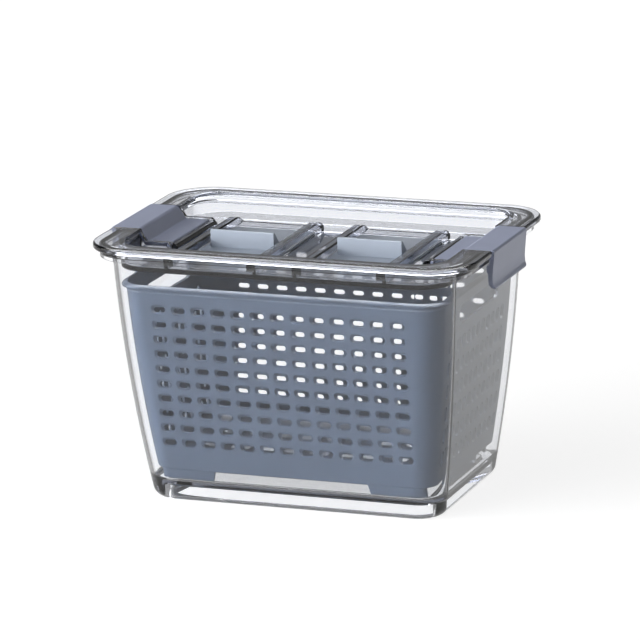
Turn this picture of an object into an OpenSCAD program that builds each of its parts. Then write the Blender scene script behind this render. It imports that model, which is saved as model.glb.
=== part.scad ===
// Produce keeper: a clear box, a slotted draining basket that stands in it, and
// a clear lid with a clip at each end and two vent sliders in its recess.
// The origin is the middle of the base. X runs along the long side, Y to the
// back and Z up. All sizes are in millimetres.

/* [Box] */
// Outside width of the box wall at its mouth
mouth_w = 217; // [205:1:225]
// Outside depth of the box wall at its mouth
mouth_d = 154; // [146:1:160]
// Height from the base to the top of the rim
box_h = 157; // [140:0.5:175]
// Straight lean of each end wall, from mouth to base
wall_lean = 7; // [4:0.5:9]
// Further lean of each end wall that bows it outwards at mid height
wall_bow = 8.4; // [4:0.2:10]
// Lean of the long walls for each millimetre of lean of the end walls
long_wall_lean = 1.2; // [1:0.05:1.3]
// Outside corner radius of the wall at the mouth
mouth_corner_r = 20; // [17:0.5:26]
// Outside corner radius of the wall at the base
base_corner_r = 17; // [15:0.5:22]
// Thickness of the wall
wall_t = 2.5; // [2:0.1:3]
// Rounding of the edge round the base
base_edge_r = 6; // [4:0.5:7]
// Rounding of the edge round the inside floor
floor_edge_r = 3; // [2:0.5:4]
// Height of the inside floor
floor_z = 13; // [10:0.5:18]
// Thickness of the floor
floor_t = 3; // [2.5:0.1:5]
// Thickness of the foot ring under the floor
foot_ring_t = 9; // [8:0.1:11]

/* [Box rim] */
// How far the rim stands out from the end walls at the mouth
rim_end_out = 8.3; // [7:0.1:9]
// How far the rim stands out from the long walls at the mouth
rim_side_out = 3.2; // [2.8:0.1:4]
// Corner radius of the rim
rim_corner_r = 25; // [23:0.5:27]
// Thickness of the rim's top
rim_t = 2.6; // [2:0.1:3.5]
// Depth of the lip that hangs from the rim's outer edge
rim_lip_h = 5; // [4:0.5:7]
// Thickness of that lip
rim_lip_t = 2.2; // [1.8:0.1:3]
// Rounding of the rim's outer edges
rim_edge_r = 0.8; // [0.5:0.1:1]

/* [Basket] */
// Gap between the basket and the box's long walls
basket_gap = 2.4; // [1.5:0.1:4]
// Further gap between the basket and the box's end walls
basket_end_gap = 1.6; // [0:0.1:3]
// Thickness of the basket wall and floor
basket_t = 2; // [1.6:0.1:2.5]
// How far the basket's rim lies below the top of the box
basket_drop = 19.7; // [17:0.1:24]
// Height of the skirt of feet that the basket stands on
basket_foot_h = 7; // [5:0.5:9]
// Rounding of the lower edge of the feet
foot_edge_r = 1.2; // [0.8:0.1:1.4]
// How far the basket's rolled rim stands out from its long walls
basket_rim_out = 1.2; // [0.6:0.1:1.4]
// Height of that rolled rim
basket_rim_h = 3.6; // [3:0.1:5]
// Length of each foot under the long walls
long_foot_l = 35; // [25:1:40]
// Distance from the far end of those feet to the outside of the box's mouth
long_foot_in = 24.5; // [22:0.5:30]
// Length of the foot under each end wall
end_foot_l = 44; // [30:1:55]

/* [Slots] */
// Distance between slots along a long wall
slot_pitch_x = 12.6; // [11:0.1:14]
// Distance between rows in a long wall
slot_pitch_z = 9.4; // [8:0.1:11]
// Length of a slot
slot_l = 8; // [6:0.1:9]
// Width of a slot
slot_w = 4.3; // [3.5:0.1:5]
// How far the top row in a long wall lies below the basket's rim
slot_drop = 14.9; // [12:0.1:20]
// Least height of the lowest row of slots above the basket's floor
slot_floor_gap = 15; // [12:0.5:20]
// Least distance from the outermost slots to the outside of the box's mouth
slot_side_gap = 31; // [30:0.5:40]
// Distance between slots along an end wall
end_slot_pitch_y = 8.7; // [7.5:0.1:10]
// Distance between rows in an end wall
end_slot_pitch_z = 13.7; // [12:0.1:16]
// How far the top row in an end wall lies below the basket's rim
end_slot_drop = 33.3; // [30:0.1:40]
// Length of the hand hole in each end wall
hand_hole_l = 70; // [50:1:80]
// Height of the hand hole
hand_hole_h = 11; // [9:0.5:14]
// How far the middle of the hand hole lies below the basket's rim
hand_hole_drop = 15.6; // [13:0.1:18]
// Distance between drain slots along the floor
drain_pitch_x = 17; // [14:0.5:20]
// Distance between rows of drain slots
drain_pitch_y = 15; // [12:0.5:18]
// Length of a drain slot
drain_slot_l = 11; // [8:0.5:12]
// Least distance from the outermost drain slots to the outside of the box's mouth
drain_side_gap = 39; // [38:0.5:48]

/* [Lid] */
// How far the lid stands out past the rim at its ends
lid_end_out = 4.2; // [3.6:0.1:5]
// How far the lid stands out past the rim at its long sides
lid_side_out = 2.8; // [2:0.1:4]
// Corner radius of the lid
lid_corner_r = 28; // [25:0.5:32]
// Height of the raised ring round the lid, above the box's rim
ring_h = 4; // [3.8:0.1:5]
// Rounding of the ring's edges
ring_edge_r = 1.5; // [0.8:0.1:1.8]
// Gap between the recess and the box's end walls
recess_end_gap = 1.5; // [1:0.1:3]
// Gap between the recess and the box's long walls
recess_side_gap = 1; // [0.8:0.1:3]
// Corner radius of the recess
recess_corner_r = 18; // [14:0.5:20]
// How far the recess floor lies below the top of the ring
recess_drop = 12.5; // [12:0.1:14]
// Thickness of the lid's floor and walls
lid_t = 2.5; // [2:0.1:2.6]

/* [Clips] */
// How far a clip stands out past the lid's end
clip_out = 1; // [0.5:0.1:2]
// Length of a clip along the lid's end
clip_l = 59.4; // [50:0.2:64]
// Thickness of a clip's plate
clip_t = 2.4; // [2.2:0.1:2.5]
// Distance from the lid's end to the axis of a clip's hinge
hinge_in = 37; // [35:0.5:39]
// How far a clip's inner plate lies below the top of the ring
clip_step_h = 7.7; // [7:0.1:8]
// Width of a clip's top plate, over the ring
clip_top_w = 19; // [17:0.1:19.5]
// Width of the sloped step between a clip's plates
clip_step_w = 4.3; // [3.5:0.1:5]
// Height of a clip's leg, from the top of the ring
clip_leg_h = 24.2; // [20:0.2:28]
// Thickness of the leg
clip_leg_t = 2.8; // [2.4:0.1:3]
// Rounding of the leg's lower corners
clip_corner_r = 5; // [4:0.5:9]
// How far the leg leans in at its waist
clip_waist = 1.4; // [0.6:0.1:1.6]
// Height of the waist above the leg's lower end
clip_waist_h = 6.6; // [5:0.2:8]
// Rounding of a clip's bends
clip_bend_r = 1.6; // [1:0.1:2]
// Height of the catch ridge inside the leg
catch_h = 3.6; // [2:0.2:4]
// Diameter of the hinge pins at the ends of a clip
pin_d = 2.4; // [2:0.1:2.4]
// Length of a hinge pin
pin_l = 2.6; // [2:0.1:3]
// Radial clearance of a hinge pin in its bore
pin_clearance = 0.05; // [0.02:0.01:0.1]
// Clearance between a clip and the lid
clip_clearance = 0.4; // [0.3:0.05:0.5]
// Thickness of the cheeks that hold the hinge pins
cheek_t = 3; // [2.5:0.1:4]

/* [Vent sliders] */
// Gap between the plates of the two sliders
slider_gap = 28.2; // [27:0.1:32]
// Distance from a slider's plate to the axis of the clip's hinge
slider_hinge_gap = 16.7; // [16:0.1:20]
// Travel of a slider, towards the front
slider_travel = 30; // [20:1:32]
// Gap between an open slider and the front of the recess
slider_front_gap = 1; // [0.5:0.1:3]
// Distance from a closed slider to the back of the recess
slider_rear_gap = 41; // [38:1:46]
// Thickness of a slider's plate
slider_t = 1.6; // [1.4:0.1:2]
// Rounding of the corners of a slider's plate
slider_corner_r = 3; // [2:0.5:5]
// Distance from the ends of the upright handle to the plate's sides
handle_side_gap = 6.1; // [5.2:0.1:9]
// Thickness of the handle
handle_t = 2.2; // [1.8:0.1:3]
// Distance from the plate's front edge to the handle
handle_in = 20; // [10:0.5:28]
// How far the top of the handle stays below the top of the ring
handle_drop = 0.2; // [0:0.1:2]
// Length of the webs that stiffen the handle's ends
handle_web_l = 8; // [5:0.5:12]
// Clearance of a slider in its guides
slider_clearance = 0.3; // [0.2:0.05:0.4]
// Height of the guides above the lid's floor
guide_h = 7.3; // [6:0.1:8]
// Width of a guide
guide_w = 6; // [5.5:0.1:6.5]
// How far a guide reaches over the slider's edge
guide_lap = 3.6; // [2.5:0.1:3.8]
// Thickness of the stop wall behind a slider
stop_t = 2.4; // [2:0.1:3]
// Gap between a closed slider and its stop wall
stop_gap = 7; // [4:0.5:9]
// Height of the stop wall above the lid's floor
stop_h = 3; // [2.6:0.1:4]
// Length over which the far end of a guide slopes down
guide_slope_l = 11; // [8:0.5:14]
// Number of vent slots under a slider
vent_slots = 3; // [2:1:3]
// Distance from the ends of a vent slot to the plate's sides
vent_side_gap = 8.6; // [6:0.1:14]
// Width of a vent slot
vent_slot_w = 5; // [3:0.1:5.5]
// Distance between vent slots
vent_pitch_y = 8; // [7:0.5:9]

/* [Hidden] */
$fn = 64;
clear = [0.80, 0.85, 0.88, 0.45];
grey_blue = [0.50, 0.56, 0.63];
light_blue = [0.62, 0.68, 0.75];
corner_steps = 8;
cut = 1;

rim_w = mouth_w + 2 * rim_end_out;
rim_d = mouth_d + 2 * rim_side_out;
lid_w = rim_w + 2 * lid_end_out;
lid_d = rim_d + 2 * lid_side_out;
recess_w = mouth_w - 2 * (wall_t + recess_end_gap + lid_t);
recess_d = mouth_d - 2 * (wall_t + recess_side_gap + lid_t);

basket_inset = wall_t + basket_gap;
basket_top_z = box_h - basket_drop;
foot_t = basket_t + 0.4;
basket_floor_z = floor_z + basket_foot_h;
foot_splay = 2;
recess_floor_z = box_h + ring_h - recess_drop;
lid_top_z = box_h + ring_h;
channel_reach = rim_lip_t + 1.2;

clip_out_x = lid_w / 2 + clip_out;
hinge_x = lid_w / 2 - hinge_in;
clip_top_x = clip_out_x - clip_top_w;
clip_low_z = lid_top_z - clip_step_h;
hinge_z = clip_low_z - clip_t / 2;
notch_l = clip_l + 2 * clip_clearance;
catch_gap = 0.1;
catch_reach_r = norm([rim_w / 2 - hinge_x, box_h - rim_edge_r - hinge_z]) + catch_gap;
catch_top_z = box_h - rim_lip_h - catch_gap;
catch_ramp = 1.6;
waist_reach = 3;
waist_part = 0.85;
step_ease = 0.9;
step_under = clip_t * 0.6;
cheek_reach = 4;
cheek_rise = 0.8;
cheek_chamfer = 1.5;
cheek_gap = 0.5;
bar_w = 4.5;
bar_top = 0.7;
bar_chamfer = 0.6;

slider_w = hinge_x - slider_hinge_gap - slider_gap / 2;
slider_x = (slider_w + slider_gap) / 2;
slider_front_y = -recess_d / 2 + slider_front_gap + slider_travel;
slider_rear_y = recess_d / 2 - slider_rear_gap;
slider_l = slider_rear_y - slider_front_y;
handle_w = slider_w - 2 * handle_side_gap;
handle_y = slider_front_y + handle_in;
plate_z = recess_floor_z + slider_clearance / 2;
guide_in = slider_w / 2 - guide_lap + slider_clearance;
groove_in = slider_w / 2 + slider_clearance;
stop_y = slider_rear_y + stop_gap;
stop_end_y = stop_y + stop_t;
guide_out = guide_in + guide_w;
guide_chamfer = 0.8;
web_foot_h = 3;
web_drop = 1.5;
vent_rear_gap = 1;
vent_slot_l = slider_w - 2 * vent_side_gap;
vent_mid_y = slider_rear_y - vent_slots * vent_pitch_y / 2 - vent_rear_gap;

// Lean of the end walls at a height
function lean(z) = wall_lean * (1 - z / box_h) + wall_bow * pow(1 - z / box_h, 2);
// Outside corner radius of the box at a height
function corner_r(z) = base_corner_r + (mouth_corner_r - base_corner_r) * z / box_h;
// Outline of the tapered form at a height, moved in from the box's outside
function outline(z, inset, end_inset = 0) =
    let (r = corner_r(z) - inset,
         w = mouth_w / 2 - lean(z) - inset - end_inset - r,
         d = mouth_d / 2 - long_wall_lean * lean(z) - inset - r)
    [for (q = [0:3], k = [0:corner_steps])
        let (a = 90 * (q + k / corner_steps))
        [(q % 3 == 0 ? w : -w) + r * cos(a), (q < 2 ? d : -d) + r * sin(a), z]];
// Outlines of a rounded lower edge, then of the wall above it at even steps
function edge_levels(z0, inset, r, end_inset = 0) =
    [for (a = [90:-30:30]) outline(z0 + r * (1 - sin(a)), inset + r * (1 - cos(a)), end_inset)];
function wall_levels(z0, z1, inset, steps, end_inset = 0) =
    [for (k = [0:steps]) outline(z0 + (z1 - z0) * k / steps, inset, end_inset)];
// Number of copies at a pitch that fit in a length
function copies(length, pitch) = floor(length / pitch) + 1;
// Reach of the catch at a height, which swings clear of the rim
function catch_x(z) = hinge_x + sqrt(pow(catch_reach_r, 2) - pow(hinge_z - z, 2));
// Points of an arc, from one angle to another
function arc(x, y, r, a0, a1, steps = 5) =
    [for (k = [0:steps]) let (a = a0 + (a1 - a0) * k / steps) [x + r * cos(a), y + r * sin(a)]];

// A solid skinned over a stack of outlines, lowest first
module loft(levels) {
    m = len(levels[0]);
    top = (len(levels) - 1) * m;
    polyhedron(
        points = [for (level = levels) each level],
        faces = concat(
            [[for (i = [0:m - 1]) i]],
            [for (j = [0:len(levels) - 2], i = [0:m - 1])
                let (a = j * m + i, b = j * m + (i + 1) % m)
                [a, a + m, b + m, b]],
            [[for (i = [m - 1:-1:0]) top + i]]),
        convexity = 6);
}

// A slot with round ends, centred
module stadium(l, w) {
    square([l - w, w], center = true);
    for (s = [-1, 1]) translate([s * (l - w) / 2, 0]) circle(d = w);
}

// A rectangle with round corners, centred
module round_rect(w, d, r) {
    square([w - 2 * r, d], center = true);
    square([w, d - 2 * r], center = true);
    for (x = [-1, 1], y = [-1, 1]) translate([x * (w / 2 - r), y * (d / 2 - r)]) circle(r);
}

// A plate with round corners, from z0 to z1
module round_plate(w, d, r, z0, z1) {
    translate([0, 0, z0]) linear_extrude(z1 - z0) round_rect(w, d, r);
}

// The half section of a plate whose outer edges are rounded
module edge_section(r, h, edge_r) {
    translate([0, edge_r]) square([r, h - 2 * edge_r]);
    square([r - edge_r, h]);
    for (y = [edge_r, h - edge_r]) translate([r - edge_r, y]) circle(edge_r);
}

// A plate with round corners and rounded edges, from z0 to z1
module soft_plate(w, d, r, z0, z1, edge_r) {
    x = w / 2 - r;
    y = d / 2 - r;
    h = z1 - z0;
    translate([0, 0, z0]) {
        for (q = [0:3])
            translate([q % 3 == 0 ? x : -x, q < 2 ? y : -y, 0])
                rotate([0, 0, 90 * q]) rotate_extrude(angle = 90) edge_section(r, h, edge_r);
        for (s = [0, 180]) rotate([0, 0, s]) {
            translate([x, y, 0]) rotate([90, 0, 0]) linear_extrude(2 * y) edge_section(r, h, edge_r);
            translate([-x, y, 0]) rotate([90, 0, 90]) linear_extrude(2 * x) edge_section(r, h, edge_r);
        }
        translate([-x, -y, 0]) cube([2 * x, 2 * y, h]);
    }
}

// The box
module outer_box() {
    skirt_z = floor_z - floor_t;
    foot_w = 2 * (mouth_w / 2 - lean(0) - foot_ring_t);
    foot_d = 2 * (mouth_d / 2 - long_wall_lean * lean(0) - foot_ring_t);
    color(clear) difference() {
        union() {
            loft(concat(edge_levels(0, 0, base_edge_r), wall_levels(base_edge_r, box_h, 0, 10)));
            soft_plate(rim_w, rim_d, rim_corner_r, box_h - rim_lip_h, box_h, rim_edge_r);
        }
        loft(concat(edge_levels(floor_z, wall_t, floor_edge_r),
                    wall_levels(floor_z + floor_edge_r, box_h + cut, wall_t, 10)));
        rim_pocket();
        round_plate(foot_w, foot_d, base_corner_r - foot_ring_t, -cut, skirt_z);
    }
}

// The open space under the rim, between the wall and the lip
module rim_pocket() {
    difference() {
        round_plate(rim_w - 2 * rim_lip_t, rim_d - 2 * rim_lip_t, rim_corner_r - rim_lip_t,
                    box_h - rim_lip_h - cut, box_h - rim_t);
        loft(wall_levels(box_h - rim_lip_h - 2 * cut, box_h, 0, 1));
    }
}

// The basket
module basket() {
    inset = basket_inset;
    inner = basket_inset + basket_t;
    end = basket_end_gap;
    inner_z = basket_floor_z + basket_t;
    color(grey_blue) difference() {
        union() {
            loft(concat(edge_levels(floor_z, inset, foot_edge_r, end),
                        wall_levels(floor_z + foot_edge_r, basket_top_z - basket_rim_h / 2, inset, 8, end)));
            basket_rim();
        }
        loft(concat(edge_levels(inner_z, inner, floor_edge_r, end),
                    wall_levels(inner_z + floor_edge_r, basket_top_z + cut, inner, 8, end)));
        loft(wall_levels(floor_z - cut, basket_floor_z, inset + foot_t, 1, end));
        foot_gaps();
        wall_slots();
        end_slots();
        drain_slots();
        hand_hole();
    }
}

// The rolled rim of the basket, which stands out further over the end walls
module basket_rim() {
    z0 = basket_top_z - basket_rim_h;
    loft([for (a = [0:30:180])
        outline(z0 + basket_rim_h * (1 - cos(a)) / 2,
                basket_inset + basket_t / 2 - (basket_t / 2 + basket_rim_out) * sin(a),
                basket_end_gap * (1 - sin(a)))]);
}

// What is cut away between the basket's feet
module foot_gaps() {
    foot_end = mouth_w / 2 - long_foot_in;
    foot_start = foot_end - long_foot_l;
    half_foot = end_foot_l / 2;
    z = basket_foot_h + cut;
    translate([0, 0, floor_z - cut]) {
        rotate([90, 0, 0]) linear_extrude(mouth_d, center = true) polygon([
            [-foot_start - foot_splay, 0], [foot_start + foot_splay, 0], [foot_start, z], [-foot_start, z]]);
        for (x = [-1, 1], y = [-1, 1])
            translate([x > 0 ? foot_end : -foot_end - mouth_w, y > 0 ? half_foot : -half_foot - mouth_d, 0])
                cube([mouth_w, mouth_d, z]);
    }
}

// A pattern of copies, centred along its first axis, with its rows going up from the second
module pattern(cols, rows, pitch, row_pitch) {
    for (i = [0:cols - 1], j = [0:rows - 1])
        translate([(i - (cols - 1) / 2) * pitch, j * row_pitch]) children();
}

// The slots through both long walls
module wall_slots() {
    cols = copies(mouth_w - 2 * slot_side_gap, slot_pitch_x);
    rows = copies(basket_top_z - slot_drop - basket_floor_z - slot_floor_gap, slot_pitch_z);
    translate([0, 0, basket_top_z - slot_drop]) rotate([90, 0, 0]) linear_extrude(mouth_d, center = true)
        pattern(cols, rows, slot_pitch_x, -slot_pitch_z) stadium(slot_l, slot_w);
}

// The upright slots through both end walls
module end_slots() {
    cols = copies(mouth_d - 2 * slot_side_gap, end_slot_pitch_y);
    rows = copies(basket_top_z - end_slot_drop - basket_floor_z - slot_floor_gap, end_slot_pitch_z);
    translate([0, 0, basket_top_z - end_slot_drop])
        rotate([90, 0, 90]) linear_extrude(mouth_w, center = true)
            pattern(cols, rows, end_slot_pitch_y, -end_slot_pitch_z) rotate(90) stadium(slot_l, slot_w);
}

// The drain slots through the basket's floor
module drain_slots() {
    cols = copies(mouth_w - 2 * drain_side_gap, drain_pitch_x);
    rows = copies(mouth_d - 2 * drain_side_gap, drain_pitch_y);
    translate([0, -(rows - 1) / 2 * drain_pitch_y, basket_floor_z - cut]) linear_extrude(basket_t + 2 * cut)
        pattern(cols, rows, drain_pitch_x, drain_pitch_y) stadium(drain_slot_l, slot_w);
}

// The hand holes through both end walls
module hand_hole() {
    translate([0, 0, basket_top_z - hand_hole_drop])
        rotate([90, 0, 90]) linear_extrude(mouth_w, center = true) stadium(hand_hole_l, hand_hole_h);
}

// The lid
module lid() {
    color(clear) difference() {
        union() {
            difference() {
                soft_plate(lid_w, lid_d, lid_corner_r, box_h, lid_top_z, ring_edge_r);
                ring_channel();
            }
            round_plate(recess_w + 2 * lid_t, recess_d + 2 * lid_t, recess_corner_r + lid_t,
                        recess_floor_z - lid_t, lid_top_z - lid_t / 2);
        }
        round_plate(recess_w, recess_d, recess_corner_r, recess_floor_z, lid_top_z + cut);
        for (s = [-1, 1]) {
            clip_notch(s);
            translate([s * slider_x, 0, 0]) vent_openings();
        }
    }
    color(clear) for (s = [-1, 1]) {
        clip_mount(s);
        translate([s * slider_x, 0, 0]) slider_guides();
    }
}

// The hollow under the lid's ring, left solid under the clips
module ring_channel() {
    difference() {
        round_plate(rim_w - 2 * channel_reach, rim_d - 2 * channel_reach, rim_corner_r - channel_reach,
                    box_h - cut, lid_top_z - lid_t);
        cube([lid_w, notch_l + 2 * cheek_t, 4 * box_h], center = true);
    }
}

// The space that a closed clip fills in the lid's end
module clip_notch(s) {
    c = clip_clearance;
    low = lid_top_z - clip_step_h - clip_t - c;
    high = lid_top_z - clip_t - c;
    step_x = clip_top_x - clip_step_w + step_under;
    leg_x = rim_w / 2 - c;
    mirror([s < 0 ? 1 : 0, 0, 0]) rotate([90, 0, 0]) linear_extrude(notch_l, center = true) polygon([
        [step_x - cut, low], [step_x + c, low], [step_x + clip_step_w + c, high], [leg_x, high],
        [leg_x, box_h - cut], [lid_w, box_h - cut], [lid_w, lid_top_z + cut],
        [step_x - cut, lid_top_z + cut]]);
}

// The cheeks and the bar that carry a clip's hinge
module clip_mount(s) {
    mirror([s < 0 ? 1 : 0, 0, 0]) {
        for (y = [-1, 1]) difference() {
            translate([0, y * (notch_l + cheek_t) / 2, 0]) cheek();
            translate([hinge_x, 0, hinge_z]) rotate([90, 0, 0])
                cylinder(d = pin_d + 2 * pin_clearance, h = notch_l + 4 * cheek_t, center = true);
        }
        hinge_bar();
    }
}

// A cheek beside a clip, on the right-hand end, which follows the clip's step
module cheek() {
    x0 = hinge_x - cheek_reach;
    x1 = recess_w / 2 + lid_t / 2;
    z0 = recess_floor_z - lid_t / 2;
    top = clip_low_z + cheek_rise;
    rotate([90, 0, 0]) linear_extrude(cheek_t, center = true) polygon([
        [x0, z0], [x0, top - cheek_chamfer], [x0 + cheek_chamfer, top], [clip_top_x - clip_step_w, top],
        [clip_top_x - cheek_gap, lid_top_z], [x1, lid_top_z], [x1, z0]]);
}

// The bar that joins the cheeks behind the hinge pins
module hinge_bar() {
    x1 = hinge_x - pin_d / 2 - clip_clearance;
    x0 = x1 - bar_w;
    z0 = recess_floor_z - lid_t / 2;
    top = hinge_z + bar_top;
    rotate([90, 0, 0]) linear_extrude(notch_l + cheek_t, center = true) polygon([
        [x0, z0], [x0, top - cheek_chamfer], [x0 + cheek_chamfer, top], [x1 - bar_chamfer, top],
        [x1, top - bar_chamfer], [x1, z0]]);
}

// The guides and the stop wall round a slider
module slider_guides() {
    z0 = recess_floor_z - lid_t / 2;
    difference() {
        for (s = [0, 1]) mirror([s, 0, 0]) guide(z0);
        guide_slope();
    }
    translate([-guide_out, stop_y, z0]) cube([2 * guide_out, stop_t, recess_floor_z + stop_h - z0]);
}

// A guide, drawn as the right-hand one, with the groove that holds the slider's edge
module guide(z0) {
    c = guide_chamfer;
    front_y = -recess_d / 2 - lid_t / 2;
    top = recess_floor_z + guide_h;
    lap_z = plate_z + slider_t + slider_clearance;
    translate([0, stop_end_y, 0]) rotate([90, 0, 0]) linear_extrude(stop_end_y - front_y) polygon([
        [groove_in, z0], [groove_in, lap_z], [guide_in, lap_z], [guide_in, top - c], [guide_in + c, top],
        [guide_out - c, top], [guide_out, top - c], [guide_out, z0]]);
}

// What slopes the far ends of the guides down to the stop wall
module guide_slope() {
    top = recess_floor_z + guide_h;
    drop = guide_h - stop_h;
    r = (pow(guide_slope_l, 2) + pow(drop, 2)) / 2 / drop;
    difference() {
        translate([-lid_w / 2, stop_end_y - guide_slope_l, top - drop])
            cube([lid_w, guide_slope_l + cut, drop + cut]);
        translate([0, stop_end_y - guide_slope_l, top - r]) rotate([0, 90, 0])
            cylinder(r = r, h = 2 * lid_w, center = true, $fn = 128);
    }
}

// The vent slots through the lid's floor under a slider
module vent_openings() {
    for (j = [0:vent_slots - 1])
        translate([0, vent_mid_y + (j - (vent_slots - 1) / 2) * vent_pitch_y, recess_floor_z - lid_t - cut])
            linear_extrude(lid_t + 2 * cut) stadium(vent_slot_l, vent_slot_w);
}

// The section of a clip, drawn as the right-hand one
module clip_section() {
    r = clip_bend_r;
    t = clip_t;
    x = clip_out_x;
    low = clip_low_z;
    low_x = clip_top_x - clip_step_w;
    under_x = low_x + step_under;
    bottom = lid_top_z - clip_leg_h;
    waist_z = bottom + clip_waist_h;
    catch_z = catch_top_z - catch_h;
    tip_r = clip_leg_t / 2;
    waist_x = x - clip_waist;
    near_x = x - clip_waist * waist_part;
    leg_in = x - clip_leg_t;
    polygon(concat(
        [[hinge_x, low], [low_x - r, low], [low_x - step_ease / 3, low + step_ease / 2],
         [clip_top_x - step_ease, lid_top_z - step_ease * 1.2], [clip_top_x + step_ease / 2, lid_top_z]],
        arc(x - r, lid_top_z - r, r, 90, 0),
        [[near_x, waist_z + waist_reach], [waist_x, waist_z], [near_x, waist_z - waist_reach]],
        arc(x - tip_r, bottom + tip_r, tip_r, 0, -180),
        [[near_x - clip_leg_t, waist_z - waist_reach], [waist_x - clip_leg_t, catch_z - catch_ramp],
         [catch_x(catch_z), catch_z], [catch_x(catch_top_z), catch_top_z],
         [leg_in - clip_waist / 2, catch_top_z + catch_gap]],
        arc(leg_in - r, lid_top_z - t - r, r, 0, 90),
        [[under_x + clip_step_w, lid_top_z - t], [under_x, low - t], [hinge_x, low - t]]));
}

// A clip, drawn as the right-hand one
module clip() {
    color(grey_blue) {
        difference() {
            rotate([90, 0, 0]) linear_extrude(clip_l, center = true) clip_section();
            for (y = [-1, 1]) leg_corner(y);
        }
        translate([hinge_x, 0, hinge_z]) rotate([90, 0, 0])
            cylinder(d = clip_t, h = clip_l, center = true);
        translate([hinge_x, 0, hinge_z]) rotate([90, 0, 0])
            cylinder(d = pin_d, h = clip_l + 2 * pin_l, center = true);
    }
}

// What rounds off a lower corner of the leg
module leg_corner(y) {
    r = clip_corner_r;
    translate([clip_out_x - 2 * clip_leg_t, y * (clip_l / 2 - r), lid_top_z - clip_leg_h + r])
        rotate([0, 90, 0]) difference() {
            translate([0, y > 0 ? 0 : -r - cut, 0]) cube([r + cut, r + cut, 4 * clip_leg_t]);
            cylinder(r = r, h = 10 * clip_leg_t, center = true);
        }
}

module clip_right() { clip(); }
module clip_left() { mirror([1, 0, 0]) clip(); }

// A vent slider, closed
module vent_slider(s) {
    tab_z = plate_z + slider_t / 2;
    tab_h = lid_top_z - handle_drop - tab_z;
    translate([s * slider_x, 0, 0]) {
        color(grey_blue) translate([0, slider_rear_y - slider_l / 2, 0])
            round_plate(slider_w, slider_l, slider_corner_r, plate_z, plate_z + slider_t);
        color(light_blue) translate([-handle_w / 2, handle_y - handle_t / 2, tab_z])
            cube([handle_w, handle_t, tab_h]);
        color(light_blue) for (x = [-handle_w / 2, handle_w / 2 - handle_t])
            translate([x, handle_y, tab_z]) handle_web(tab_h - web_drop);
    }
}

// A web that stiffens one end of a slider's handle from behind
module handle_web(h) {
    rotate([90, 0, 90]) linear_extrude(handle_t)
        polygon([[0, 0], [handle_web_l, 0], [handle_web_l, web_foot_h], [handle_t, h], [0, h]]);
}

module vent_slider_left() { vent_slider(-1); }
module vent_slider_right() { vent_slider(1); }

outer_box();
basket();
lid();
clip_left();
clip_right();
vent_slider_left();
vent_slider_right();
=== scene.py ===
from math import cos, pi, radians, sin

import bmesh
import bpy
from bpy.props import FloatProperty, FloatVectorProperty, IntProperty, PointerProperty
from mathutils import Matrix, Vector


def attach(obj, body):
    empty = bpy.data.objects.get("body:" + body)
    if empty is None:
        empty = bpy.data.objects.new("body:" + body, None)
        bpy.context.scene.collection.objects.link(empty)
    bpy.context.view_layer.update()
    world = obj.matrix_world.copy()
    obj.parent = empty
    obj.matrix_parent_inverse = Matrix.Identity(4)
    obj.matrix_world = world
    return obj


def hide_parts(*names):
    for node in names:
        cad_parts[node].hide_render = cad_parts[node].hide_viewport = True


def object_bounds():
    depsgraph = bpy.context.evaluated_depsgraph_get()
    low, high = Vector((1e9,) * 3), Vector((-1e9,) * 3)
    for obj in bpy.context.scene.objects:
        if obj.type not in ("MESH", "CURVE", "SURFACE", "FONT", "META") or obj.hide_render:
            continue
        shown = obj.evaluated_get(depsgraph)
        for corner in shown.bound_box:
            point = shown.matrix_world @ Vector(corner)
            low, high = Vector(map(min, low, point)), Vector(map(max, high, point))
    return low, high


bl_info = {
    "name": "Produce Keeper",
    "version": (1, 0, 0),
    "blender": (4, 5, 0),
    "location": "3D View > Sidebar > Keeper",
    "description": "Models a produce keeper, its basket, lid, clips and vents, and a studio stage",
    "category": "Add Mesh",
}

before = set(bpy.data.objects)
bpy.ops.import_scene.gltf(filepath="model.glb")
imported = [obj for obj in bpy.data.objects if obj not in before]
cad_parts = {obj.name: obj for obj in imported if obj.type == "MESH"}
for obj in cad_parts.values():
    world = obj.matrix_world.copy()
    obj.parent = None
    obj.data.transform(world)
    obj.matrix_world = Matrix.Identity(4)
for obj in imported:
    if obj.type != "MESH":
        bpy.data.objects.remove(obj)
CAD_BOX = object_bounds()
MM = 0.001
CORNER_STEPS = 14
TOP = CAD_BOX[1][2]

# Half width, half depth and corner radius of the box's rim, and of the lid's ring, recess and channel
BOX_RIM = (116.8 * MM, 80.2 * MM, 25 * MM)
LID_RING = (121 * MM, 83 * MM, 28 * MM)
RECESS = (102 * MM, 71 * MM, 18 * MM)
LID_CHANNEL = (113.4 * MM, 76.8 * MM, 21.6 * MM)
RECESS_DROP = 12.5 * MM
LID_WALL = 2.5 * MM

# How far an end wall leans in at the foot, how far its bow adds to that, and the corner radii there and at
# the mouth
LEAN, BOW = 7 * MM, 8.4 * MM
FOOT_CORNER, MOUTH_CORNER = 17 * MM, 20 * MM

# How much more the long walls lean than the end walls, and how much further in the basket's end walls stand
LONG_WALL_LEAN = 1.2
BASKET_END_GAP = 1.6 * MM

# From the basket's top to its first row of slots, and the slots' pitch down and across a wall
LONG_SLOTS = (14.9 * MM, 9.4 * MM, 12.6 * MM)
END_SLOTS = (33.3 * MM, 13.7 * MM, 8.7 * MM)
END_ROWS, END_COLUMNS = 6, 11
HAND_HOLE_DOWN = 15.6 * MM
DRAIN_COLUMNS, DRAIN_ROWS, DRAIN_PITCH = 9, 6, (17 * MM, 15 * MM)

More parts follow.
